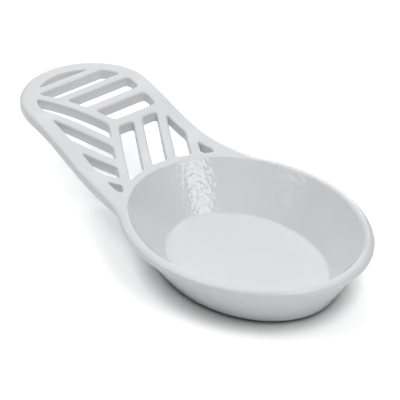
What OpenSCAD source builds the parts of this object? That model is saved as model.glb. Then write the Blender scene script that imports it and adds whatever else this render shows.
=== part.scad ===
// Spoon rest
// An oval dish and an openwork handle, cast in one piece and enamelled.
// It stands on four rubber pads. X runs from the handle to the dish,
// and the origin lies on the table, under the middle of the whole length.

/* [Dish] */
// Length of the dish's mouth
mouth_l = 128; // [110:1:150]
// Width of the dish's mouth
mouth_w = 103; // [90:1:120]
// Height of the rim above the table
rim_h = 27.2; // [22:0.1:34]
// Width of the rim
rim_w = 4.7; // [3.5:0.1:7]
// Thickness of the rim's lip
lip_t = 3.1; // [2.6:0.1:5]
// How far the lip stands out past the wall under it
lip_overhang = 1.8; // [1.4:0.1:2.5]
// Radius of the rim's rounded edges
rim_r = 1.2; // [0.5:0.1:1.2]
// How far the inner wall leans in on its way down to the floor
wall_lean = 17.5; // [12:0.5:20]
// Radius where the inner wall meets the floor
floor_r = 2.2; // [2:0.1:6]
// Thickness of the floor
floor_t = 4.4; // [3.5:0.1:6]
// How far the base's edge lies inside the mouth's edge
base_inset = 12.5; // [10:0.5:16]
// Radius of the base's edge
base_r = 1.3; // [0.5:0.1:2.5]
// How far the floor and the base lie forwards of the mouth
forward_lean = 1.4; // [0:0.1:2.5]

/* [Handle] */
// Distance from the dish's centre to the centre of the handle's round end
handle_reach = 122.3; // [115:0.1:135]
// Diameter of the handle's round end
head_d = 71.5; // [64:0.5:78]
// Thickness of the handle
handle_t = 5.8; // [4:0.1:8]
// Height of the round end above the rim
rise_h = 15.2; // [0:0.1:24]
// Length of the rise, which starts at the mouth's edge
rise_l = 70; // [50:1:90]
// Angle round the rim, from the handle's side, at which the flanks leave it
join_a = 54; // [48:1:60]
// Length of the flank's straight pull at the round end
head_pull = 37.3; // [20:0.1:45]
// Length of the flank's straight pull at the rim
rim_pull = 14; // [8:0.5:18]

/* [Lattice] */
// Width of the solid border round the openings
border_w = 8.5; // [6:0.1:11]
// Width of the ribs
rib_w = 5; // [3.5:0.1:7]
// Distance from the dish's centre to the hub where the three main ribs meet
hub_reach = 101.2; // [96:0.1:108]
// Spacing of the cross ribs towards the round end
cross_pitch = 13.7; // [11:0.1:17]
// Spacing of the slanted ribs
slant_pitch = 12.9; // [11:0.1:16]
// How far the ribs that run towards the dish lie aside of the hub
dish_rib_shift = 1.1; // [0:0.1:2]
// Radius of the openings' corners
slot_r = 0.8; // [0.4:0.1:3]

/* [Pads] */
// Diameter of a rubber pad
pad_d = 9; // [6:0.5:12]
// Thickness of a rubber pad
pad_t = 2; // [1.6:0.1:3]
// Depth of the recess that a pad is glued into
pad_seat = 1; // [0.5:0.1:1.4]
// Gap round a pad in its recess
pad_gap = 0.2; // [0.1:0.1:0.5]
// Distance from a pad to the edge of the base's flat
pad_margin = 1; // [0.6:0.1:4]
// Angle of the pads round the base, from the long axis
pad_a = 30; // [20:1:45]

/* [Hidden] */

enamel = "#d9dbdc";
pad_black = "#1d1d1f";

// Directions of the three main ribs, and the number of branches on each
cross_a = 90;
left_a = 210;
right_a = -30;
branch_n = 3;

// Steps round the dish, along a flank, along the handle and in a small arc
oval_n = 96;
flank_n = 20;
sheet_n = 44;
arc_n = 4;
round_n = 96;
corner_n = 32;

// Overrun of every cut
over = 2;

rear_end = handle_reach + head_d / 2;
front_end = mouth_l / 2 + rim_w;
dish_x = (rear_end - front_end) / 2;
base_z = pad_t - pad_seat;
floor_z = base_z + floor_t;
lip_z = rim_h - lip_t;
wall_a = atan2(rim_h - floor_z, wall_lean);
outer_a = atan2(lip_z - base_z - base_r, rim_w - lip_overhang + base_inset);

function direction(a) = [cos(a), sin(a)];

// An arc of radius r round c, from angle a to angle b
function arc(c, r, a, b) = [for (i = [0:arc_n]) c + r * direction(a + (b - a) * i / arc_n)];

// A smooth step from 0 to 1 while s goes from 0 to 1
function ease(s) = (1 - cos(180 * max(0, min(1, s)))) / 2;

// The oval that lies d outside the mouth's edge
function oval(d) = [
    for (i = [0:oval_n - 1])
        [(mouth_l / 2 + d) * cos(360 * i / oval_n), (mouth_w / 2 + d) * sin(360 * i / oval_n)]
];

// Outside of the dish, from the base to the rim, as [distance outside the mouth's edge, height]
body_profile = concat(
    arc([-base_inset - base_r, base_z + base_r], base_r, -90, outer_a - 90),
    [[rim_w - lip_overhang, lip_z]],
    arc([rim_w - rim_r, lip_z + rim_r], rim_r, -90, 0),
    arc([rim_w - rim_r, rim_h - rim_r], rim_r, 0, 90)
);

// Inside of the dish, from the floor to the rim
hollow_profile = concat(
    arc([-wall_lean - floor_r * tan(wall_a / 2), floor_z + floor_r], floor_r, -90, wall_a - 90),
    arc([rim_r * tan(wall_a / 2), rim_h - rim_r], rim_r, wall_a + 90, 90),
    [[rim_r * tan(wall_a / 2), rim_h + over]]
);

// How far the oval at height z lies forwards: not at all at the top, and fully at the low end
function forward(z, top, low) = forward_lean * max(0, min(1, (top - z) / (top - low)));

// A solid whose level sections are ovals that follow the profile and lean forwards from top to low
module oval_solid(profile, top_z, low_z) {
    last = len(profile) - 1;
    rings = [for (p = profile) for (q = oval(p[0])) [q[0] + forward(p[1], top_z, low_z), q[1], p[1]]];
    top = len(rings);
    bottom = top + 1;
    sides = [
        for (j = [0:last - 1])
            for (i = [0:oval_n - 1])
                let (a = j * oval_n + i, b = j * oval_n + (i + 1) % oval_n)
                    [a, a + oval_n, b + oval_n, b]
    ];
    lid = [for (i = [0:oval_n - 1]) [top, last * oval_n + (i + 1) % oval_n, last * oval_n + i]];
    foot = [for (i = [0:oval_n - 1]) [bottom, i, (i + 1) % oval_n]];
    centres = [[0, 0, profile[last][1]], [0, 0, profile[0][1]]];
    polyhedron(concat(rings, centres), concat(sides, lid, foot), convexity = 4);
}

// Where a flank leaves the rim, and the rim's direction there
join_x = (mouth_l / 2 + rim_w) * cos(join_a);
join_y = (mouth_w / 2 + rim_w) * sin(join_a);
join_v = [(mouth_l / 2 + rim_w) * sin(join_a), (mouth_w / 2 + rim_w) * cos(join_a)];
flank_pulls = [
    [-handle_reach, head_d / 2],
    [-handle_reach + head_pull, head_d / 2],
    [-join_x, join_y] - rim_pull * join_v / norm(join_v),
    [-join_x, join_y]
];

// Point and direction at share t of a flank, which is one smooth curve with the pulls c
function flank_point(t, c) =
    pow(1 - t, 3) * c[0] + 3 * pow(1 - t, 2) * t * c[1] + 3 * (1 - t) * pow(t, 2) * c[2] + pow(t, 3) * c[3];
function flank_course(t, c) =
    pow(1 - t, 2) * (c[1] - c[0]) + 2 * (1 - t) * t * (c[2] - c[1]) + pow(t, 2) * (c[3] - c[2]);

// The flank on the +Y side, moved inwards by inset
function flank(inset) = [
    for (i = [0:flank_n])
        let (p = flank_point(i / flank_n, flank_pulls), v = flank_course(i / flank_n, flank_pulls))
            p + inset * [v[1], -v[0]] / norm(v)
];

// The handle's outline seen from above, moved inwards by inset
module handle_outline(inset = 0) {
    side = flank(inset);
    translate([-handle_reach, 0])
        circle(r = head_d / 2 - inset, $fn = round_n);
    polygon(concat(side, [for (i = [flank_n:-1:0]) [side[i][0], -side[i][1]]]));
}

// Rise and thickness of the handle at distance x from the dish's centre
function lift(x) = rise_h * ease((x - mouth_l / 2) / rise_l);
function thickness(x) = lip_t + (handle_t - lip_t) * ease((x - join_x) / (mouth_l / 2 - join_x));

// A sheet as thick as the rim's lip at the join and as the handle from the rise on
module bent_sheet() {
    start = join_x - over;
    run = rear_end + over - start;
    stations = [for (i = [0:sheet_n]) start + run * i / sheet_n];
    crest = [for (x = stations) [-x, rim_h + lift(x)]];
    belly = [for (i = [sheet_n:-1:0]) crest[i] - [0, thickness(stations[i])]];
    rotate([90, 0, 0])
        linear_extrude(height = mouth_w + rim_w, center = true)
            polygon(concat(crest, belly));
}

module handle_plate() {
    intersection() {
        linear_extrude(height = rim_h + rise_h + over)
            difference() {
                handle_outline();
                polygon(oval(-lip_t));
            }
        bent_sheet();
    }
}

// A rib that runs from its own origin in direction a, as long as the handle's end is wide
module rib(a) {
    rotate(a)
        translate([0, -rib_w / 2])
            square([head_d, rib_w]);
}

// A main rib, and the ribs in direction a that branch from the main rib in direction stem
module rib_family(a, stem, pitch) {
    for (k = [0:branch_n])
        translate(k * pitch / abs(sin(a - stem)) * direction(stem))
            rib(a);
}

module ribs() {
    translate([-hub_reach, 0]) {
        rib_family(cross_a, left_a, cross_pitch);
        rib_family(left_a, right_a, slant_pitch);
        translate(-dish_rib_shift * direction(right_a + 90))
            rib_family(right_a, cross_a, slant_pitch);
    }
}

// The lattice's openings, with rounded corners
module openings() {
    translate([0, 0, base_z])
        linear_extrude(height = rim_h + rise_h)
            offset(r = slot_r, $fn = corner_n)
                offset(delta = -slot_r)
                    difference() {
                        handle_outline(border_w);
                        polygon(oval(rim_w));
                        ribs();
                    }
}

// Angles of the pads, and a pad's centre at angle a round the base
pad_angles = [pad_a, -pad_a, 180 - pad_a, 180 + pad_a];
pad_d_in = base_inset + base_r + pad_margin + pad_d / 2;
function pad_place(a) = [forward_lean + (mouth_l / 2 - pad_d_in) * cos(a), (mouth_w / 2 - pad_d_in) * sin(a)];

module pad_recesses() {
    for (a = pad_angles)
        translate([pad_place(a)[0], pad_place(a)[1], base_z - over])
            cylinder(d = pad_d + 2 * pad_gap, h = pad_seat + over, $fn = round_n);
}

module pad(a) {
    color(pad_black)
        translate([dish_x + pad_place(a)[0], pad_place(a)[1], 0])
            cylinder(d = pad_d, h = pad_t, $fn = round_n);
}

module casting() {
    color(enamel)
        translate([dish_x, 0, 0])
            difference() {
                union() {
                    oval_solid(body_profile, lip_z, base_z);
                    handle_plate();
                }
                oval_solid(hollow_profile, rim_h, floor_z);
                openings();
                pad_recesses();
            }
}

module foot_front_left() { pad(pad_angles[0]); }
module foot_front_right() { pad(pad_angles[1]); }
module foot_rear_left() { pad(pad_angles[2]); }
module foot_rear_right() { pad(pad_angles[3]); }

casting();
foot_front_left();
foot_front_right();
foot_rear_left();
foot_rear_right();
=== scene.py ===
# %% [markdown]
# # A cast-iron spoon rest in Blender
# The object is one iron casting, an oval dish with a broad openwork handle, coated with glossy
# off-white enamel. It stands on four rubber pads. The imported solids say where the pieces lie. This
# script draws them again with the soft edges that the solids lack, and gives them three finishes.

# %% Load the frame
import math

import bmesh
import bpy
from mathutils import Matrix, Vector
from mathutils.geometry import delaunay_2d_cdt, interpolate_bezier


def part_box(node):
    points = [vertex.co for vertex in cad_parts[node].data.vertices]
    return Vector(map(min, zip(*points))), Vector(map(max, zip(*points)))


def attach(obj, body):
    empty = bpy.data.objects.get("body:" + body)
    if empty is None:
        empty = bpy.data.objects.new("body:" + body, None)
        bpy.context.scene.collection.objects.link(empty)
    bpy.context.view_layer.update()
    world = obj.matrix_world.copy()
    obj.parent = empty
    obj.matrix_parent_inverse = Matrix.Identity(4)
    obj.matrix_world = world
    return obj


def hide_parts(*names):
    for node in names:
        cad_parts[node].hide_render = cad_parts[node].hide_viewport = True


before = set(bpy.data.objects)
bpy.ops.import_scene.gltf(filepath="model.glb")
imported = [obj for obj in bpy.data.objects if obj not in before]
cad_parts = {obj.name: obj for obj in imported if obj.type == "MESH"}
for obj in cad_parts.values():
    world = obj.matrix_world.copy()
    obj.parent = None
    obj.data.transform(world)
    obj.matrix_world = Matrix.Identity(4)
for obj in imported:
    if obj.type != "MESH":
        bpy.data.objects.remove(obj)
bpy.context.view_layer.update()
casting_low, casting_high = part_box("casting")
print("nodes", sorted(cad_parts), "casting", casting_low[:], casting_high[:])

# %% [markdown]
# ## Driving sizes
# The plan is drawn in millimetres from the dish's centre, with the handle on the -X side, because
# that is how a pattern maker would lay it out. Every point is turned to metres once, when it
# becomes a vertex. The dish's centre in the frame, the rise of the handle and the height of the
# base follow from the casting's own box. A size that only one form needs stands with that form.

# %% Mouth and rim
MM = 0.001
mouth_half_l = 64.0
mouth_half_w = 51.5
rim_w = 4.7
rim_h = 27.2
dish_x = casting_high.x / MM - mouth_half_l - rim_w
rise_h = casting_high.z / MM - rim_h
base_z = casting_low.z / MM
print(f"dish centre at x = {dish_x:.2f} mm, rise {rise_h:.1f} mm, base at z = {base_z:.1f} mm")

# %% [markdown]
# ## The plan
# Everything level on the dish is an oval whose half axes are the mouth's, plus one distance. The
# handle leaves the rim along two flanks and ends in a half circle. Each flank is one Bezier curve
# that starts along the rim and ends along the handle, so nothing kinks where they meet. Its two
# pulls say how far it keeps to either direction.

# %% Ovals
OVAL_STEPS = 240


def oval(d, first=0, last=OVAL_STEPS):
    """Points of the oval that lies d outside the mouth's edge."""
    half_l, half_w = mouth_half_l + d, mouth_half_w + d
    turns = [2 * math.pi * i / OVAL_STEPS for i in range(first, last)]
    return [Vector((half_l * math.cos(a), half_w * math.sin(a))) for a in turns]


print(len(oval(0)), "points round the mouth")

# %% Outline of the rim and the handle
handle_reach = 122.3
head_r = 35.75
join_a = math.radians(54)
rim_pull = 14.0
head_pull = 37.3
FLANK_POINTS = 48
HEAD_STEPS = 96

join_step = round((math.pi - join_a) / (2 * math.pi) * OVAL_STEPS)
join = oval(rim_w, join_step, join_step + 1)[0]
join_x = -join.x
rim_half_l, rim_half_w = mouth_half_l + rim_w, mouth_half_w + rim_w
along_rim = Vector((-join.y * rim_half_l / rim_half_w, join.x * rim_half_w / rim_half_l)).normalized()
knots = (join, join + rim_pull * along_rim, Vector((head_pull - handle_reach, head_r)),
         Vector((-handle_reach, head_r)))
flank = [p.xy for p in interpolate_bezier(*[knot.to_3d() for knot in knots], FLANK_POINTS)]
head_turns = [math.pi * i / HEAD_STEPS for i in range(1, HEAD_STEPS)]
head = [Vector((-handle_reach - head_r * math.sin(a), head_r * math.cos(a))) for a in head_turns]
other_flank = [Vector((p.x, -p.y)) for p in flank[::-1]]
outline = oval(rim_w, 1 - join_step, join_step) + flank + head + other_flank
print(f"outline of {len(outline)} points, join at x = {join.x:.1f}, y = {join.y:.1f}")

# %% [markdown]
# ## Heights
# The handle is a sheet of even thickness that rises in one smooth S from the mouth's edge to its
# level round end. Where it runs into the rim it thins to the thickness of the lip, so its lower
# edge flows into the lip's.

# %% Heights of the handle
handle_t = 5.8
lip_t = 3.1
rise_l = 70.0


def ease(s):
    """A smooth step from 0 to 1."""
    return (1 - math.cos(math.pi * max(0.0, min(1.0, s)))) / 2


def crest(x):
    """Height of the top at x."""
    return rim_h + rise_h * ease((-x - mouth_half_l) / rise_l)


def along_handle(x):
    """0 at the rim, 1 where the rise starts."""
    return ease((-x - join_x) / (mouth_half_l - join_x))


def belly(x):
    """Height of the underside at x."""
    return crest(x) - lip_t - (handle_t - lip_t) * along_handle(x)


print("heights of the top", [round(crest(x), 1) for x in (-60, -80, -100, -120, -140)])

# %% [markdown]
# ## Geometry Nodes: a few helpers
# Two things here follow a rule, the ribs and the oval dish, and one repeats, the pads. Geometry
# Nodes make all three, from named inputs. One function adds a node with its settings and links,
# and another runs a tree and keeps its result as a plain mesh.

# %% Nodes and their inputs


def feed(node, inputs):
    """Fills a node's inputs, by name or in order, with values or with links."""
    for key, value in inputs.items() if isinstance(inputs, dict) else enumerate(inputs):
        source = value.outputs[0] if isinstance(value, bpy.types.Node) else value
        if isinstance(source, bpy.types.NodeSocket):
            node.id_data.links.new(source, node.inputs[key])
        else:
            node.inputs[key].default_value = source


def add(tree, kind, inputs=(), **settings):
    """Adds a node with its settings and inputs. A node as an input stands for its first output."""
    made = tree.nodes.new(kind)
    for key, value in settings.items():
        setattr(made, key, value)
    feed(made, inputs)
    return made


print("a node's inputs are filled in order or by name")

# %% Trees and what grows from them


def new_tree(name, inputs):
    """A geometry tree with named inputs, their sockets in it, and its output node."""
    tree = bpy.data.node_groups.new(name, "GeometryNodeTree")
    for title, kind in inputs.items():
        tree.interface.new_socket(title, in_out="INPUT", socket_type=kind)
    tree.interface.new_socket("Geometry", in_out="OUTPUT", socket_type="NodeSocketGeometry")
    return tree, add(tree, "NodeGroupInput").outputs, add(tree, "NodeGroupOutput")


def finish_tree(tree, geometry, material, output):
    """Ends a tree in Realize Instances and Set Material."""
    real = add(tree, "GeometryNodeRealizeInstances", (geometry,))
    coated = add(tree, "GeometryNodeSetMaterial", {"Geometry": real, "Material": material})
    feed(output, (coated,))
    print(tree.name, "tree with", len(tree.nodes), "nodes")


def grown(name, tree, material, **values):
    """Runs the tree on a new object and returns the object with a plain mesh of one material."""
    piece = bpy.data.objects.new(name, bpy.data.meshes.new(name))
    bpy.context.scene.collection.objects.link(piece)
    modifier = piece.modifiers.new("Shape", "NODES")
    modifier.node_group = tree
    sockets = {i.name.replace(" ", "_"): i.identifier
               for i in tree.interface.items_tree if i.in_out == "INPUT"}
    for key, value in (values | {"Material": material}).items():
        modifier[sockets[key]] = value
    ready = piece.evaluated_get(bpy.context.evaluated_depsgraph_get())
    piece.data = bpy.data.meshes.new_from_object(ready)
    piece.modifiers.clear()
    piece.data.materials.clear()
    piece.data.materials.append(material)
    piece.data.polygons.foreach_set("material_index", [0] * len(piece.data.polygons))
    return piece


print("a tree ends in Realize Instances and Set Material, and its result is kept as a plain mesh")

# %% [markdown]
# ## Materials: linear colour
# Colours are written as the sRGB hex values that a colour picker shows, and one function turns
# them to the linear values that the shader needs.

# %% Colour


def colour(code):
    """Linear RGBA of an sRGB hex value such as D9DBDC."""
    parts = [int(code[i:i + 2], 16) / 255 for i in (0, 2, 4)]
    return [c / 12.92 if c <= 0.04045 else ((c + 0.055) / 1.055) ** 2.4 for c in parts] + [1.0]


def new_material(name):
    """A material with its tree and its Principled shader."""
    material = bpy.data.materials.new(name)
    material.use_nodes = True
    return material, material.node_tree, material.node_tree.nodes["Principled BSDF"]


print("the enamel's light grey in linear values", [round(c, 3) for c in colour("E1E2E3")])

# %% [markdown]
# ## Finish: vitreous enamel on sand-cast iron
# Powdered glass is sprayed on the casting and melted at about 800 °C. Its white grains lie deep in
# the glass and scatter the light softly, while its surface flows out glossy and keeps an orange
# peel, about two millimetres across. So the shader has two layers: a matt base that only shows the
# coarser waves of the sand mould, and over it a glass coat, whose own finer bump breaks up each
# reflection. On level faces the melt lies still and evens out, and faces that look down get less
# spray, so the bump is deepest on the walls inside the dish.

# %% Enamel: its colour and the waves of the mould
enamel, tree, shader = new_material("vitreous_enamel_off_white")
place = add(tree, "ShaderNodeTexCoord").outputs["Object"]
cloud_size = 30 * MM
mould_size = 7.0 * MM
mould_depth = 0.2 * MM
cloud = add(tree, "ShaderNodeTexNoise", {"Vector": place, "Scale": 1 / cloud_size, "Detail": 2.0})
tint = add(tree, "ShaderNodeMix", {"Factor": cloud, "A": colour("DCDEE0"), "B": colour("E1E2E3")},
           data_type="RGBA")
mould = add(tree, "ShaderNodeTexNoise", {"Vector": place, "Scale": 1 / mould_size, "Detail": 2.0})
waves = add(tree, "ShaderNodeBump", {"Height": mould, "Distance": mould_depth, "Strength": 0.8})
print(f"clouds of {cloud_size / MM:.0f} mm, waves of {mould_size / MM:.0f} mm")

# %% Enamel: the depth of the peel
wall_peel = 0.3 * MM
level_peel = 0.08 * MM
full_spray_z = 0.3
least_spray_z = -0.6
least_spray_share = 0.3
normal = add(tree, "ShaderNodeNewGeometry").outputs["Normal"]
upward = add(tree, "ShaderNodeSeparateXYZ", {"Vector": normal}).outputs["Z"]
level = add(tree, "ShaderNodeMath", (upward, 4), operation="POWER")
depth = add(tree, "ShaderNodeMapRange", {"Value": level, "To Min": wall_peel, "To Max": level_peel})
spray = add(tree, "ShaderNodeMapRange", {
    "Value": upward, "From Min": least_spray_z, "From Max": full_spray_z, "To Min": least_spray_share})
peel_depth = add(tree, "ShaderNodeMath", (depth, spray), operation="MULTIPLY")
print(f"peel {wall_peel / MM:.2f} mm deep on a wall, {level_peel / MM:.2f} mm on a level face")

# %% Enamel: the glass coat
peel_size = 2.2 * MM
peel = add(tree, "ShaderNodeTexNoise", {"Vector": place, "Scale": 1 / peel_size, "Detail": 1.0})
skin = add(tree, "ShaderNodeBump", {"Height": peel, "Distance": peel_depth, "Strength": 1.0, "Normal": waves})
feed(shader, {"Base Color": tint.outputs["Result"], "Normal": waves, "Roughness": 0.5,
              "Specular IOR Level": 0.0, "Coat Weight": 1.0, "Coat Roughness": 0.1, "Coat IOR": 1.5,
              "Coat Normal": skin})
print(enamel.name, "with", len(tree.nodes), "nodes")

# %% [markdown]
# ## Finish: ground coat
# The flat of the base is wiped clean before the cover coat is fired, because it stands on the
# furnace's pins. It keeps the matt, nearly black ground coat with a fine grain of sand. The pads
# have a grain too, so one function makes either finish from its own values.

# %% Grained finishes and the ground coat


def grained(name, size, depth, detail, strength, dark, light, roughness):
    """A matt material with a grain that shows in its relief and a little in its colour."""
    material, tree, shader = new_material(name)
    place = add(tree, "ShaderNodeTexCoord").outputs["Object"]
    grain = add(tree, "ShaderNodeTexNoise", {"Vector": place, "Scale": 1 / size, "Detail": detail})
    relief = add(tree, "ShaderNodeBump", {"Height": grain, "Distance": depth, "Strength": strength})
    tint = add(tree, "ShaderNodeMix", {"Factor": grain, "A": colour(dark), "B": colour(light)},
               data_type="RGBA")
    feed(shader, {"Base Color": tint.outputs["Result"], "Normal": relief, "Roughness": roughness})
    return material


ground_coat = grained("ground_coat_matt_black", size=0.8 * MM, depth=0.1 * MM, detail=2.0, strength=0.5,
                      dark="1A191C", light="2B2A2E", roughness=0.7)
print(ground_coat.name, "with", len(ground_coat.node_tree.nodes), "nodes")

# %% [markdown]
# ## Finish: moulded rubber
# The pads are nitrile rubber, pressed in a mould with a spark-eroded face. That gives a matt
# black skin with a grain of about half a millimetre.

# %% Rubber
rubber = grained("nitrile_rubber_black", size=0.5 * MM, depth=0.06 * MM, detail=1.0, strength=0.6,
                 dark="1B1B1D", light="27272A", roughness=0.75)
print(rubber.name, "with", len(rubber.node_tree.nodes), "nodes")

# %% [markdown]
# ## The ribs
# Three main ribs meet at a hub, 120 degrees apart, and each of them carries three branches that
# run parallel to the next main rib. So there are three families of four parallel ribs. In the tree
# a row of points along one main rib, the stem, carries one flat strip per rib of a family, so the
# spacing, the width and the number stay inputs. The strips are long enough to run out past the
# border. The family that runs towards the dish lies a millimetre to the side of the hub, as it
# does on the photograph.

# %% Geometry tree of a rib family
ribs_tree, given, output = new_tree("Rib family", {
    "Width": "NodeSocketFloat", "Length": "NodeSocketFloat", "Pitch": "NodeSocketFloat",
    "Branches": "NodeSocketInt", "Direction": "NodeSocketFloat", "Stem": "NodeSocketFloat",
    "Material": "NodeSocketMaterial"})
swing = add(ribs_tree, "ShaderNodeMath", (given["Direction"], given["Stem"]), operation="SUBTRACT")
sine = add(ribs_tree, "ShaderNodeMath", (swing,), operation="SINE")
opening_sine = add(ribs_tree, "ShaderNodeMath", (sine,), operation="ABSOLUTE")
stride = add(ribs_tree, "ShaderNodeMath", (given["Pitch"], opening_sine), operation="DIVIDE")
stem_x = add(ribs_tree, "ShaderNodeMath", (given["Stem"],), operation="COSINE")
stem_y = add(ribs_tree, "ShaderNodeMath", (given["Stem"],), operation="SINE")
step_x = add(ribs_tree, "ShaderNodeMath", (stride, stem_x), operation="MULTIPLY")
step_y = add(ribs_tree, "ShaderNodeMath", (stride, stem_y), operation="MULTIPLY")
step = add(ribs_tree, "ShaderNodeCombineXYZ", (step_x, step_y))
number = add(ribs_tree, "ShaderNodeMath", (given["Branches"], 1), operation="ADD")
roots = add(ribs_tree, "GeometryNodeMeshLine", {"Count": number, "Offset": step})
strip = add(ribs_tree, "GeometryNodeMeshGrid", {
    "Size X": given["Length"], "Size Y": given["Width"], "Vertices X": 2, "Vertices Y": 2})
half = add(ribs_tree, "ShaderNodeMath", (given["Length"], 2), operation="DIVIDE")
reach = add(ribs_tree, "ShaderNodeCombineXYZ", (half,))
shifted = add(ribs_tree, "GeometryNodeTransform", {"Geometry": strip, "Translation": reach})
turn = add(ribs_tree, "ShaderNodeCombineXYZ", {"Z": given["Direction"]})
fan = add(ribs_tree, "GeometryNodeInstanceOnPoints", {
    "Points": roots, "Instance": shifted, "Rotation": turn})
finish_tree(ribs_tree, fan, given["Material"], output)

# %% Three families of ribs
rib_w = 5.0
branches = 3
hub_reach = 101.2
cross_pitch = 13.7
slant_pitch = 12.9
dish_rib_shift = 1.1
cross, left, right = (math.radians(a) for a in (90, 210, -30))
rib_strips = []
for direction, stem, pitch, aside in ((cross, left, cross_pitch, 0.0), (left, right, slant_pitch, 0.0),
                                      (right, cross, slant_pitch, dish_rib_shift)):
    family = grown("ribs", ribs_tree, enamel, Width=rib_w, Length=2 * head_r, Pitch=pitch,
                   Branches=branches, Direction=direction, Stem=stem)
    hub = Vector((-hub_reach, 0)) + aside * Vector((math.sin(direction), -math.cos(direction)))
    for face in family.data.polygons:
        rib_strips.append([family.data.vertices[i].co.xy + hub for i in face.vertices])
    bpy.data.objects.remove(family)
print(len(rib_strips), "rib strips")

# %% [markdown]
# ## The openings
# The openings are what is left of the handle's window when the ribs and the rim are taken out. A
# constrained Delaunay triangulation says of every triangle which of the drawn shapes it lies in,
# so the triangles in the window alone are the openings, and their free edges are the outlines.
# The same is done once without the ribs, to find the two ends of the field that they fill.

# %% Triangles and their outlines
ALL_TRIANGLES = 0
SAME_POINT = 1e-5


def triangulated(shapes):
    """Points, and triangles that lie in the first closed shape and in no other."""
    points, faces = [], []
    for shape in shapes:
        faces.append(list(range(len(points), len(points) + len(shape))))
        points += shape
    found, _, triangles, _, _, origin = delaunay_2d_cdt(points, [], faces, ALL_TRIANGLES, SAME_POINT)
    return found, [t for t, inside in zip(triangles, origin) if set(inside) == {0}]


def outlines(triangles):
    """Closed loops of vertex numbers round a set of triangles."""
    sides = {(t[i - 1], t[i]) for t in triangles for i in range(3)}
    follow = {a: b for a, b in sides if (b, a) not in sides}
    loops = []
    while follow:
        first, step = follow.popitem()
        loop = [first]
        while step != first:
            loop.append(step)
            step = follow.pop(step)
        loops.append(loop)
    return loops


print("a triangle stays when it lies in the first shape only")

# %% Outlines of the openings
border_w = 8.5


def moved(loop, distances):
    """The closed loop with each point moved outwards by its distance."""
    result = []
    for i, p in enumerate(loop):
        a = (p - loop[i - 1]).normalized()
        b = (loop[(i + 1) % len(loop)] - p).normalized()
        na, nb = Vector((a.y, -a.x)), Vector((b.y, -b.x))
        result.append(p + (na + nb) * distances[i] / (1 + na.dot(nb)))
    return result


inner_flank = moved(outline, [-border_w] * len(outline))
window = [p for p in inner_flank if p.x < -join_x]
found, triangles = triangulated([window, oval(rim_w)] + rib_strips)
raw_openings = [[found[i] for i in loop] for loop in outlines(triangles)]
found, triangles = triangulated([window, oval(rim_w)])
lattice = [found[i] for i in outlines(triangles)[0]]
print(len(raw_openings), "openings")

# %% [markdown]
# ## Rounded corners
# A mould leaves no sharp corner. Each corner is cut back by the same small distance along both
# sides and bridged by a curve, so a wide corner turns in a large radius and a narrow one keeps its
# pointed look, as on the real casting. On a short side a corner takes no more than a share of it.
# The two corners where the handle's border runs into the rim carry the load, and there a larger
# web of iron fills the narrow end of the opening.

# %% Lines and loops
SPACING = 2.0


def length(line):
    """Length of an open line of points."""
    return sum((b - a).length for a, b in zip(line, line[1:]))


def trim(line, first_cut, last_cut):
    """The open line without a stretch at its start and one at its end."""
    for left_over in (first_cut, last_cut):
        while (line[1] - line[0]).length < left_over:
            left_over -= (line[1] - line[0]).length
            line = line[1:]
        line = [line[0].lerp(line[1], left_over / (line[1] - line[0]).length)] + line[1:]
        line = line[::-1]
    return line


def spaced(loop):
    """The closed loop with points at most the spacing apart."""
    result = []
    for a, b in zip(loop, loop[1:] + loop[:1]):
        parts = math.ceil((b - a).length / SPACING)
        result += [a.lerp(b, i / parts) for i in range(parts)]
    return result


print(f"outline {length(outline):.0f} mm long before its points are spaced")

# %% Corners
corner_set = 2.1
corner_share = 0.29
web_set = 10.0
web_share = 0.7
web_near = 0.1
CORNER_TURN = math.radians(14)
CORNER_STEPS = 8


def turning(loop, i):
    """Angle by which the loop turns at point i."""
    a, b = loop[i] - loop[i - 1], loop[(i + 1) % len(loop)] - loop[i]
    return abs(math.atan2(a.x * b.y - a.y * b.x, a.dot(b)))


def corners_of(loop):
    """Numbers of the loop's points at which it turns sharply."""
    return [i for i in range(len(loop)) if turning(loop, i) > CORNER_TURN]


web_ends = [lattice[i] for i in corners_of(lattice)]
print(len(web_ends), "corners that get a web")

# %% Rounded openings


def set_back(corner, side):
    """Length that a corner takes off a side, which is more where a web fills it."""
    if min((corner - end).length for end in web_ends) < web_near:
        return min(web_set, web_share * length(side))
    return min(corner_set, corner_share * length(side))


def rounded(loop):
    """The loop with a smooth curve over each corner."""
    corners = corners_of(loop)
    loop = loop[corners[0]:] + loop[:corners[0]]
    corners = [i - corners[0] for i in corners] + [len(loop)]
    loop.append(loop[0])
    sides = [loop[a:b + 1] for a, b in zip(corners, corners[1:])]
    trimmed = [trim(side, set_back(side[0], side), set_back(side[-1], side)) for side in sides]
    shares = [i / CORNER_STEPS for i in range(1, CORNER_STEPS)]
    result = []
    for before, side, corner in zip([trimmed[-1]] + trimmed, trimmed, corners):
        start, end, top = before[-1], side[0], loop[corner]
        result += [start.lerp(top, t).lerp(top.lerp(end, t), t) for t in shares]
        result += side
    return result


openings = [spaced(rounded(loop)) for loop in raw_openings]
outline = spaced(outline)
print("points in the openings", [len(loop) for loop in openings], "and in the outline", len(outline))

# %% [markdown]
# ## The casting's skin
# The top and the underside are flat fills between loops. From each loop a strip goes over a round
# edge, down the wall and round the lower edge. A narrow flat band beside each round edge keeps the
# shading of the flats clean. The strips and fills share their points, so the skin closes, but for
# one stretch of the rim that the part on the flats names. The handle's edges are quarter circles,
# and the rim's outer edge is a broad, flat quarter oval, so drips run off it. On the quarter that
# faces the camera the rim on the photograph is up to a millimetre narrower and its edge tighter,
# as if it had been dressed on a grinder.

# %% Strips and fills
ROUND_STEPS = 6
BAND = 0.15
casting_mesh = bmesh.new()


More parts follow.
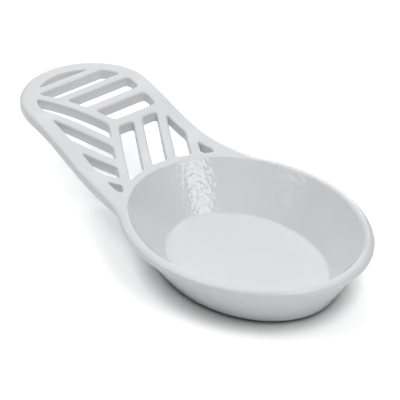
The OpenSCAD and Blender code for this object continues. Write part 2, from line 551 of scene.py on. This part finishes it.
def vertex(p, z):
    """A vertex at plan point p, in millimetres from the dish's centre."""
    return casting_mesh.verts.new(((p.x + dish_x) * MM, p.y * MM, z * MM))


def strip_between(rings):
    """Quads between closed rings of as many vertices each."""
    for lower, upper in zip(rings, rings[1:]):
        for i in range(len(lower)):
            casting_mesh.faces.new((lower[i - 1], lower[i], upper[i], upper[i - 1]))


def fill(shapes, height):
    """Triangles between the first loop and the others, at height(x)."""
    points, triangles = triangulated(shapes)
    made = {i: vertex(points[i], height(points[i].x)) for t in triangles for i in t}
    return [casting_mesh.faces.new([made[i] for i in t]) for t in triangles]


print("bands of", BAND, "mm beside the round edges")

# %% Profiles of the edges
lip_top_w = 3.9
lip_top_h = 2.6
lip_low_r = 0.4
handle_top_r = 2.4
handle_low_r = 1.8
ground_a = math.radians(-50)
ground_top_w = 1.9
ground_in = 1.0
rib_r = 0.9
rib_low_r = 0.8


def quarter(r, t):
    """Inset and drop at share t of a quarter circle, from the flat to the wall."""
    return r * Vector((1 - math.sin(math.pi / 2 * t), 1 - math.cos(math.pi / 2 * t)))


def oval_angle(p):
    """Angle of plan point p on the mouth's oval."""
    return math.atan2(p.y / mouth_half_w, p.x / mouth_half_l)


def ground_off(p):
    """Metal ground off the outer edge, none at the rim's foremost and widest points."""
    return ground_in * max(0, math.sin(-2 * oval_angle(p))) if p.x > 0 > p.y else 0


def rim_edge(p, t):
    """Inset and drop on the outer edge: a flat quarter oval at the rim, a quarter circle on the handle."""
    tight = max(0, math.cos(oval_angle(p) - ground_a)) ** 2
    width = lip_top_w + (ground_top_w - lip_top_w) * tight
    width += (handle_top_r - width) * along_handle(p.x)
    height = lip_top_h + (handle_top_r - lip_top_h) * along_handle(p.x)
    return Vector((ground_off(p) + width * quarter(1, t).x, height * quarter(1, t).y))


def lower_edge(p, t):
    """Inset and drop on the outer edge's underside."""
    rounding = quarter(lip_low_r + (handle_low_r - lip_low_r) * along_handle(p.x), t)
    return rounding + Vector((ground_off(p), 0))


near_point = oval(rim_w)[-OVAL_STEPS // 8]
print(f"{ground_off(near_point):.1f} mm ground off halfway round the near quarter")

# %% Outer edge and openings


def edge_rings(loop, outwards, top, low):
    """Rings from the top flat over the top edge, down the wall and round the lower edge."""
    rings, flats = [], []
    for curve, height, side in ((top, crest, 1), (low, belly, -1)):
        flats.append(moved(loop, [-outwards * (curve(p, 0).x + BAND) for p in loop]))
        half = [[vertex(q, height(q.x)) for q in flats[-1]]]
        for i in range(ROUND_STEPS + 1):
            spots = [curve(p, i / ROUND_STEPS) for p in loop]
            ring = moved(loop, [-outwards * spot.x for spot in spots])
            half.append([vertex(q, height(q.x) - side * spot.y) for q, spot in zip(ring, spots)])
        rings += half if side == 1 else half[::-1]
    strip_between(rings)
    return flats


top_loops, low_loops = [], []
edges = [(outline, 1, rim_edge, lower_edge)]
for hole in openings:
    edges.append((hole, -1, lambda p, t: quarter(rib_r, t), lambda p, t: quarter(rib_low_r, t)))
for loop, outwards, top, low in edges:
    top_loop, low_loop = edge_rings(loop, outwards, top, low)
    top_loops.append(top_loop)
    low_loops.append(low_loop)
print(len(casting_mesh.faces), "faces in the edges")

# %% [markdown]
# ## The flats
# The inside wall leans outwards from the floor to the mouth, and its round edge starts a little
# outside the mouth, depending on that lean. The top fills what lies between there and the outer
# edge. The underside ends where the outer wall of the dish starts, because the lip stands out past
# it. On the +Y side of the rim the outer edge is so broad that its flat band overlaps the mouth's
# by 0.08 mm. Nothing joins the two bands there, so that seam is open. With lip_top_w at 3.7 it
# closes.

# %% Top and underside
floor_z = 5.4
wall_lean = 17.5
rim_r = 1.2
lip_overhang = 1.8
wall_angle = math.atan2(rim_h - floor_z, wall_lean)
mouth_flat = rim_r * math.tan(wall_angle / 2)
lip_inner = rim_w - lip_overhang
fill([top_loops[0], oval(mouth_flat + BAND)] + top_loops[1:], crest)
fill([low_loops[0], oval(lip_inner)] + low_loops[1:], belly)
print(len(casting_mesh.faces), "faces with the fills")

# %% [markdown]
# ## The dish
# The dish is a loft: a section is carried round the ovals, and each of its points keeps its own
# distance from the mouth's edge. The tree takes the section as a line of vertices, whose X is that
# distance, whose Y is how far its oval lies forwards, and whose Z is the height. The floor and the
# base lie a little nearer to the front than the mouth does, so the wall under the handle leans
# more than the front one. With both half axes at zero the same rule is a lathe.

# %% Geometry tree of the oval loft
loft_weld = 0.002 * MM
loft_tree, given, output = new_tree("Oval loft", {
    "Section": "NodeSocketObject", "Half length": "NodeSocketFloat", "Half width": "NodeSocketFloat",
    "Steps": "NodeSocketInt", "Centre": "NodeSocketVector", "Material": "NodeSocketMaterial"})
section = add(loft_tree, "GeometryNodeObjectInfo", {"Object": given["Section"]}).outputs["Geometry"]
rows = add(loft_tree, "GeometryNodeAttributeDomainSize", {"Geometry": section}).outputs["Point Count"]
columns = add(loft_tree, "ShaderNodeMath", (given["Steps"], 1), operation="ADD")
sheet = add(loft_tree, "GeometryNodeMeshGrid", {"Vertices X": rows, "Vertices Y": columns})
index = add(loft_tree, "GeometryNodeInputIndex")
clear_index = add(loft_tree, "ShaderNodeMath", (index, 0.5), operation="ADD")
rows_before = add(loft_tree, "ShaderNodeMath", (clear_index, columns), operation="DIVIDE")
row = add(loft_tree, "ShaderNodeMath", (rows_before,), operation="FLOOR")
row_start = add(loft_tree, "ShaderNodeMath", (row, columns), operation="MULTIPLY")
column = add(loft_tree, "ShaderNodeMath", (index, row_start), operation="SUBTRACT")
where = add(loft_tree, "GeometryNodeInputPosition")
on_section = add(loft_tree, "GeometryNodeSampleIndex", {"Geometry": section, "Value": where, "Index": row},
                 data_type="FLOAT_VECTOR")
out, ahead, up = add(loft_tree, "ShaderNodeSeparateXYZ", (on_section,)).outputs
turn = add(loft_tree, "ShaderNodeMath", (column, given["Steps"]), operation="DIVIDE")
angle = add(loft_tree, "ShaderNodeMath", (turn, 2 * math.pi), operation="MULTIPLY")
cosine = add(loft_tree, "ShaderNodeMath", (angle,), operation="COSINE")
sine = add(loft_tree, "ShaderNodeMath", (angle,), operation="SINE")
half_x = add(loft_tree, "ShaderNodeMath", (given["Half length"], out), operation="ADD")
half_y = add(loft_tree, "ShaderNodeMath", (given["Half width"], out), operation="ADD")
bent_x = add(loft_tree, "ShaderNodeMath", (half_x, cosine, ahead), operation="MULTIPLY_ADD")
bent_y = add(loft_tree, "ShaderNodeMath", (half_y, sine), operation="MULTIPLY")
bent = add(loft_tree, "ShaderNodeCombineXYZ", (bent_x, bent_y, up))
shaped = add(loft_tree, "GeometryNodeSetPosition", {"Geometry": sheet, "Position": bent})
welded = add(loft_tree, "GeometryNodeMergeByDistance", {"Geometry": shaped, "Distance": loft_weld})
centred = add(loft_tree, "GeometryNodeTransform", {"Geometry": welded, "Translation": given["Centre"]})
finish_tree(loft_tree, centred, given["Material"], output)

# %% Helpers for sections
forward_lean = 1.4


def arc(x, z, r, start, end, steps=8):
    """Section points on an arc of radius r round (x, z)."""
    turns = [math.radians(start + (end - start) * i / steps) for i in range(steps + 1)]
    return [(x + r * math.cos(a), z + r * math.sin(a)) for a in turns]


def forward(z, top, low):
    """How far the oval at height z lies forwards, from nothing at the top to all of it at the bottom."""
    return forward_lean * (top - z) / (top - low)


def lofted(name, points, half_l, half_w, steps, centre, material, shift=lambda z: 0.0):
    """The section's points, in millimetres, carried round an oval and shifted by height."""
    mesh = bpy.data.meshes.new(name)
    mesh.from_pydata([(x * MM, shift(z) * MM, z * MM) for x, z in points], [], [])
    section = bpy.data.objects.new(name, mesh)
    piece = grown(name, loft_tree, material, Section=section, Half_length=half_l * MM,
                  Half_width=half_w * MM, Steps=steps, Centre=(centre * MM, 0, 0))
    bpy.data.objects.remove(section)
    return piece


print("the floor and the base lie", forward_lean, "mm forwards")

# %% [markdown]
# ## Sections of the dish
# The inside runs from the flat of the rim over the mouth's round edge, down the wall, round the
# floor's edge and in to the middle, where the oval has shrunk to a line. The outside starts a
# little below the lip, because above that the wall's top follows the handle's underside, and one
# strip of faces joins the two.

# %% Inside and outside
floor_r = 2.2
wall_start = 5.0
base_inset = 12.5
base_r = 1.3
lean = math.degrees(wall_angle)
floor_edge = -wall_lean - floor_r * math.tan(wall_angle / 2)
inside = [(mouth_flat + BAND, rim_h)] + arc(mouth_flat, rim_h - rim_r, rim_r, 90, lean + 90)
inside += arc(floor_edge, floor_z + floor_r, floor_r, lean - 90, -90)
inside += [(floor_edge - BAND, floor_z), (-mouth_half_w, floor_z)]
lip_z = rim_h - lip_t
outer_angle = math.atan2(lip_z - base_z - base_r, lip_inner + base_inset)
base_flat = base_inset + base_r
outside = [(lip_inner - wall_start / math.tan(outer_angle), lip_z - wall_start)]
outside += arc(-base_flat, base_z + base_r, base_r, math.degrees(outer_angle) - 90, -90)
outside += [(-base_flat - BAND, base_z)]
print(f"wall leans {90 - lean:.1f} degrees inside, section of {len(inside)} points")

# %% Loft the dish and join it to the skin
for name, points, top, low in (("dish_inside", inside, rim_h, floor_z),
                               ("dish_outside", outside, lip_z, base_z)):
    part = lofted(name, points, mouth_half_l, mouth_half_w, OVAL_STEPS, dish_x, enamel,
                  lambda z: forward(z, top, low))
    casting_mesh.from_mesh(part.data)
    bpy.data.objects.remove(part)
wall_top = [vertex(p, belly(p.x)) for p in oval(lip_inner)]
start_shift = Vector((forward(outside[0][1], lip_z, base_z), 0))
wall_next = [vertex(p + start_shift, outside[0][1]) for p in oval(outside[0][0])]
strip_between([wall_top, wall_next])
print(len(casting_mesh.faces), "faces with the dish")

# %% [markdown]
# ## The base
# The flat of the base has four shallow recesses, which keep the pads from being pushed off when
# the rest is slid along a worktop. It gets the dark ground coat. The lowest half millimetre of its
# round edge gets the same dark coat as painted shade: it deepens the line at the foot, where the
# gap under the dish lies in shadow. The rest of the casting gets the enamel.

# %% Base flat and recesses
painted_shade_h = 0.5
pad_d = 9.0
pad_seat = 1.0
pad_gap = 0.2
pad_inset = 19.3
pad_a = math.radians(30)
PAD_STEPS = 48


def circle(centre, r):
    """Points of a circle."""
    turns = [2 * math.pi * i / PAD_STEPS for i in range(PAD_STEPS)]
    return [centre + r * Vector((math.cos(a), math.sin(a))) for a in turns]


pad_centres = [Vector((forward_lean + (mouth_half_l - pad_inset) * math.cos(a),
                       (mouth_half_w - pad_inset) * math.sin(a)))
               for a in (pad_a, -pad_a, math.pi - pad_a, math.pi + pad_a)]
recesses = [circle(c, pad_d / 2 + pad_gap) for c in pad_centres]
# Painted shade: every face in the lowest half millimetre of the casting takes the dark coat.
dark_faces = [f for f in casting_mesh.faces if f.calc_center_median().z < (base_z + painted_shade_h) * MM]
flat_edge = [p + Vector((forward_lean, 0)) for p in oval(-base_flat - BAND)]
dark_faces += fill([flat_edge] + recesses, lambda x: base_z)
for recess in recesses:
    lower, upper = ([vertex(p, z) for p in recess] for z in (base_z, base_z + pad_seat))
    strip_between([lower, upper])
    dark_faces.append(casting_mesh.faces.new(upper))
for face in dark_faces:
    face.material_index = 1
print(len(recesses), "recesses in the base")

# %% Close the casting
casting_weld = 0.02 * MM
casting_crease = math.radians(50)


def smoothed(mesh, crease):
    """Turns the faces outwards and shades them smooth, but for edges that turn more than the crease."""
    bmesh.ops.recalc_face_normals(mesh, faces=mesh.faces)
    for face in mesh.faces:
        face.smooth = True
    for edge in mesh.edges:
        edge.smooth = edge.calc_face_angle(0) < crease


bmesh.ops.remove_doubles(casting_mesh, verts=casting_mesh.verts, dist=casting_weld)
smoothed(casting_mesh, casting_crease)
open_edges = [e for e in casting_mesh.edges if len(e.link_faces) != 2]
casting = bpy.data.objects.new("spoon_rest_casting", bpy.data.meshes.new("spoon_rest_casting"))
casting_mesh.to_mesh(casting.data)
casting_mesh.free()
casting.data.materials.append(enamel)
casting.data.materials.append(ground_coat)
bpy.context.scene.collection.objects.link(casting)
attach(casting, "root")
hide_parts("casting")
print(len(casting.data.polygons), "faces,", len(open_edges), "open or doubled edges")

# %% [markdown]
# ## The pads
# Each pad is a small disc, rounded where it meets the table and slightly hollow underneath, so
# that its edge grips. The loft tree turns its section round a point, and a second tree sets one
# pad on each of the four centres.

# %% Geometry tree of the pads
pads_tree, given, output = new_tree("Pads", {
    "Pad": "NodeSocketObject", "Centres": "NodeSocketObject", "Material": "NodeSocketMaterial"})
points = add(pads_tree, "GeometryNodeObjectInfo", {"Object": given["Centres"]}).outputs["Geometry"]
one_pad = add(pads_tree, "GeometryNodeObjectInfo", {"Object": given["Pad"]}).outputs["Geometry"]
set_out = add(pads_tree, "GeometryNodeInstanceOnPoints", {"Points": points, "Instance": one_pad})
finish_tree(pads_tree, set_out, given["Material"], output)

# %% Pads
pad_t = 2.0
pad_edge_r = 0.4
pad_bevel = 0.2
hollow = 0.15
pad_crease = math.radians(40)
pad_r = pad_d / 2
pad_section = [(0, hollow)] + arc(pad_r - 2 * pad_edge_r, pad_edge_r, pad_edge_r, -110, -90, 3)
pad_section += arc(pad_r - pad_edge_r, pad_edge_r, pad_edge_r, -90, 0, 5)
pad_section += [(pad_r, pad_t - pad_bevel), (pad_r - pad_bevel, pad_t), (0, pad_t)]
one = lofted("pad", pad_section, 0.0, 0.0, PAD_STEPS, 0.0, rubber)
places_mesh = bpy.data.meshes.new("pad_places")
places_mesh.from_pydata([((c.x + dish_x) * MM, c.y * MM, 0) for c in pad_centres], [], [])
places = bpy.data.objects.new("pad_places", places_mesh)
pads = grown("rubber_pads", pads_tree, rubber, Pad=one, Centres=places)
bpy.data.objects.remove(one)
bpy.data.objects.remove(places)
pads_mesh = bmesh.new()
pads_mesh.from_mesh(pads.data)
smoothed(pads_mesh, pad_crease)
pads_mesh.to_mesh(pads.data)
pads_mesh.free()
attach(pads, "root")
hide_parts("foot_front_left", "foot_front_right", "foot_rear_left", "foot_rear_right")
print(len(pads.data.polygons), "faces in the pads")

# %% [markdown]
# ## Floor
# The object stands on a plain pale floor in a white studio. For the camera alone the floor and the
# world are lifted to white, so they cut the object out cleanly and still keep its soft shadow. Near
# the dish the floor's colour for the camera is also darkened by ambient occlusion, a painted shadow
# that deepens where the dish all but touches the floor. From below the floor is clear, so that the
# underside can be looked at.

# %% Floor
floor_half = 3.0
seen_white = 1.36
painted_shadow_depth = 0.45
painted_shadow_reach = 11 * MM
floor_mesh = bpy.data.meshes.new("floor")
floor_mesh.from_pydata([(x * floor_half, y * floor_half, 0) for x, y in ((-1, -1), (1, -1), (1, 1), (-1, 1))],
                       [], [(0, 1, 2, 3)])
floor = bpy.data.objects.new("floor", floor_mesh)
bpy.context.scene.collection.objects.link(floor)
paper, tree, shader = new_material("matt_white_paper")
camera_ray = add(tree, "ShaderNodeLightPath").outputs["Is Camera Ray"]
# Painted shadow: the floor's colour for the camera darkens with ambient occlusion near the dish.
occlusion = add(tree, "ShaderNodeAmbientOcclusion", {"Distance": painted_shadow_reach}, samples=8).outputs["AO"]
floor_painted_shadow = add(tree, "ShaderNodeMapRange", {
    "Value": occlusion, "To Min": seen_white * (1 - painted_shadow_depth), "To Max": seen_white})
shade = add(tree, "ShaderNodeMix", {"Factor": camera_ray, "A": colour("FFFFFF"), "B": floor_painted_shadow.outputs[0]},
            data_type="RGBA")
matt = add(tree, "ShaderNodeBsdfDiffuse", {"Color": shade.outputs["Result"]})
clear = add(tree, "ShaderNodeBsdfTransparent")
from_below = add(tree, "ShaderNodeNewGeometry").outputs["Backfacing"]
one_sided = add(tree, "ShaderNodeMixShader", (from_below, matt, clear))
feed(tree.nodes["Material Output"], {"Surface": one_sided})
floor_mesh.materials.append(paper)
print("floor", 2 * floor_half, "m across")

# %% [markdown]
# ## Light
# The world gives next to nothing, and twelve softboxes stand in a ring round the object. The six
# high ones light the level faces and lay the shadow. The two at half height fill the wall inside
# the dish with a broken band of light. The four low ones light the outer wall and the handle's edge.

# %% World
ambient = 0.02
world = bpy.data.worlds.new("studio")
world.use_nodes = True
bpy.context.scene.world = world
tree = world.node_tree
camera_ray = add(tree, "ShaderNodeLightPath").outputs["Is Camera Ray"]
strength = add(tree, "ShaderNodeMath", (camera_ray, 1 - ambient, ambient), operation="MULTIPLY_ADD")
feed(tree.nodes["Background"], {"Color": (1, 1, 1, 1), "Strength": strength})
print("world strength", ambient, "and 1 for the camera")

# %% Softboxes
softbox_reach = 1.3


def towards(azimuth, elevation):
    """Direction from the object to a place at this azimuth and elevation, in degrees."""
    a, e = math.radians(azimuth), math.radians(elevation)
    return Vector((math.sin(a) * math.cos(e), -math.cos(a) * math.cos(e), math.sin(e)))


def softbox(name, azimuth, elevation, watts, size):
    """A square area light that faces the object from a distance."""
    lamp = bpy.data.lights.new(name, "AREA")
    lamp.size = size
    lamp.energy = watts
    made = bpy.data.objects.new(name, lamp)
    made.location = softbox_reach * towards(azimuth, elevation)
    made.rotation_euler = towards(azimuth, elevation).to_track_quat("Z", "Y").to_euler()
    bpy.context.scene.collection.objects.link(made)


for name, azimuth, elevation, watts, size in (
        ("right", 91, 56, 4.0, 0.5), ("left", 315, 60, 4.8, 0.8), ("far_right", 138, 60, 3.2, 0.8),
        ("front", 50, 62, 1.4, 0.8), ("front_left", 0, 60, 1.1, 0.8), ("back", 228, 58, 2.2, 0.7),
        ("mid_back", 225, 30, 1.6, 0.8), ("mid_left", 270, 30, 1.8, 0.8), ("low_back", 225, 10, 2.9, 0.8),
        ("low_front", 45, 10, 0.7, 0.8), ("low_right", 90, 10, 1.7, 0.8), ("low_left", 315, 10, 0.7, 0.8)):
    softbox("softbox_" + name, azimuth, elevation, watts, size)
print(len(bpy.data.lights), "softboxes")

# %% [markdown]
# ## Camera
# The photograph was taken with a long lens from the front right of the dish, 32 degrees above the
# table.

# %% Camera
distance = 1318.4 * MM
aim_back = 61.69
aim_left = 22.5
aim = Vector(((dish_x - aim_back) * MM, aim_left * MM, 0))
view = towards(50.65, 32.08)
lens = bpy.data.cameras.new("camera")
lens.sensor_width = 36
lens.lens = 234.56
lens.clip_start = 0.01
camera = bpy.data.objects.new("camera", lens)
camera.location = aim + distance * view
camera.rotation_euler = view.to_track_quat("Z", "Y").to_euler()
bpy.context.scene.collection.objects.link(camera)
bpy.context.scene.camera = camera
bpy.context.scene.view_settings.view_transform = "Standard"
print("camera at", [round(c, 3) for c in camera.location])
